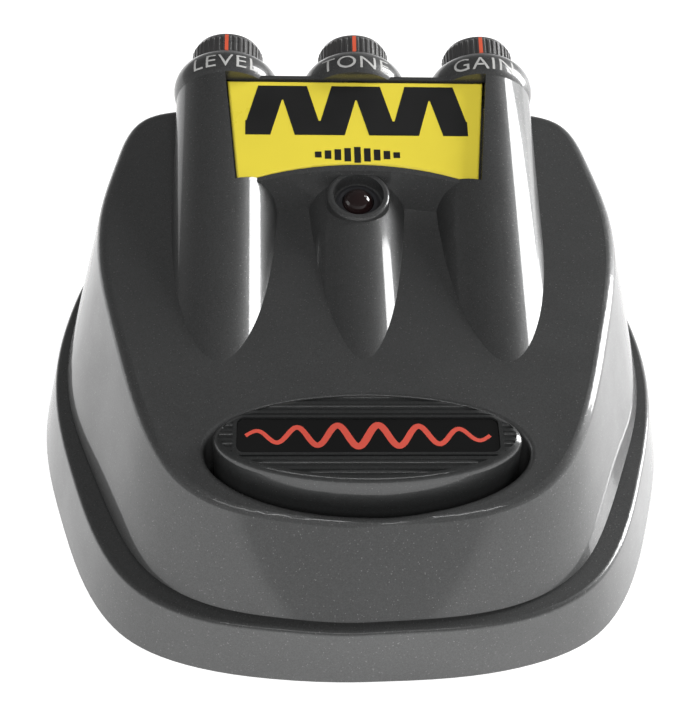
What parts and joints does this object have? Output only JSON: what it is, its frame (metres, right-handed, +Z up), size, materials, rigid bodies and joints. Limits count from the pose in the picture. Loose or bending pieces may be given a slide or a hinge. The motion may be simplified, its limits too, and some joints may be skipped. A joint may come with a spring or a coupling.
{
  "type": "guitar effects pedal",
  "caption": "Sloping cast floor pedal with three tubular ribs, rotary controls at the rear, a badge, a lamp and an oval foot treadle.",
  "frame": {"origin": "on the floor under the middle of the pedal's bounding box", "axes": "+X to the player's right, +Y towards the controls and sockets, +Z up"},
  "size_m": [0.1284, 0.1228, 0.0662],
  "materials": {
    "badge_yellow": "glossy yellow enamel look",
    "battery_jacket": "satin printed jacket",
    "black_plastic": "fine texture",
    "board_green": "green solder mask",
    "can_blue": "blue sleeve",
    "chip_black": "moulded epoxy",
    "film_red": "dipped film",
    "foam": "open cell foam",
    "foot_rubber": "matte",
    "header_white": "moulded nylon",
    "housing_paint": "graphite metallic paint with fine flake under gloss lacquer",
    "jack_body": "moulded black",
    "knob_black": "satin black, ribbed",
    "lamp_lens": "dark glossy dome",
    "nickel": "nickel plated",
    "plated_steel": "zinc plated",
    "plunger_white": "moulded nylon",
    "pointer_red": "orange-red line",
    "pot_body": "pressed steel",
    "resistor_tan": "lacquered",
    "spring_steel": "bright wire",
    "switch_case": "moulded",
    "treadle_black": "dark metallic satin",
    "window_gloss": "polished black",
    "wire_black": "pvc insulation",
    "wire_blue": "pvc insulation",
    "wire_grey": "pvc insulation",
    "wire_red": "pvc insulation",
    "wire_yellow": "pvc insulation"
  },
  "bodies": {
    "housing": {"badge_plate": "badge_yellow", "base_tray": "housing_paint", "battery": "battery_jacket", "battery_lead_black": "wire_black", "battery_lead_red": "wire_red", "battery_snap": "black_plastic", "battery_terminals": "nickel", "board_screws": "plated_steel", "case_screws": "plated_steel", "electrolytic_capacitors": "can_blue", "film_capacitors": "film_red", "gain_pot": "pot_body", "gain_wires": "wire_grey", "input_jack": "jack_body", "input_wires": "wire_blue", "jack_nuts": "nickel", "jack_washers": "nickel", "lamp_wires": "wire_red", "led_bezel": "black_plastic", "level_pot": "pot_body", "level_wires": "wire_grey", "main_board": "board_green", "op_amp_chips": "chip_black", "output_jack": "jack_body", "output_wires": "wire_blue", "pot_nuts": "nickel", "pot_washers": "nickel", "power_socket": "jack_body", "power_wires": "wire_yellow", "push_switch": "switch_case", "resistors": "resistor_tan", "return_springs": "spring_steel", "rubber_feet": "foot_rubber", "status_led": "lamp_lens", "tone_pot": "pot_body", "tone_wires": "wire_grey", "top_shell": "housing_paint", "transistors": "chip_black", "wire_headers": "header_white"},
    "level_control": {"level_knob": "knob_black", "level_pointer": "pointer_red", "level_pot_shaft": "nickel"},
    "tone_control": {"tone_knob": "knob_black", "tone_pointer": "pointer_red", "tone_pot_shaft": "nickel"},
    "gain_control": {"gain_knob": "knob_black", "gain_pointer": "pointer_red", "gain_pot_shaft": "nickel"},
    "treadle": {"foot_treadle": "treadle_black", "treadle_window": "window_gloss", "switch_plunger": "plunger_white"},
    "door": {"battery_door": "black_plastic", "battery_foam": "foam"}
  },
  "joints": [
    {"name": "level_turn", "type": "hinge", "parent": "housing", "child": "level_control", "pos_m": [-0.0264, 0.053, 0.0574], "axis": [0, 0.9336, 0.3584], "range_deg": [-150, 150]},
    {"name": "tone_turn", "type": "hinge", "parent": "housing", "child": "tone_control", "pos_m": [0, 0.053, 0.0574], "axis": [0, 0.9336, 0.3584], "range_deg": [-150, 150]},
    {"name": "gain_turn", "type": "hinge", "parent": "housing", "child": "gain_control", "pos_m": [0.0264, 0.053, 0.0574], "axis": [0, 0.9336, 0.3584], "range_deg": [-150, 150]},
    {"name": "treadle_press", "type": "slide", "parent": "housing", "child": "treadle", "axis": [0, 0, -1], "range_m": [0, 0.0025], "stiffness_N_per_m": 1500, "springref_m": -0.002, "deforming": ["return_springs"]},
    {"name": "battery_door_turn", "type": "hinge", "parent": "housing", "child": "door", "pos_m": [0, 0.0098, 0.0024], "axis": [-1, 0, 0], "range_deg": [0, 80]}
  ]
}
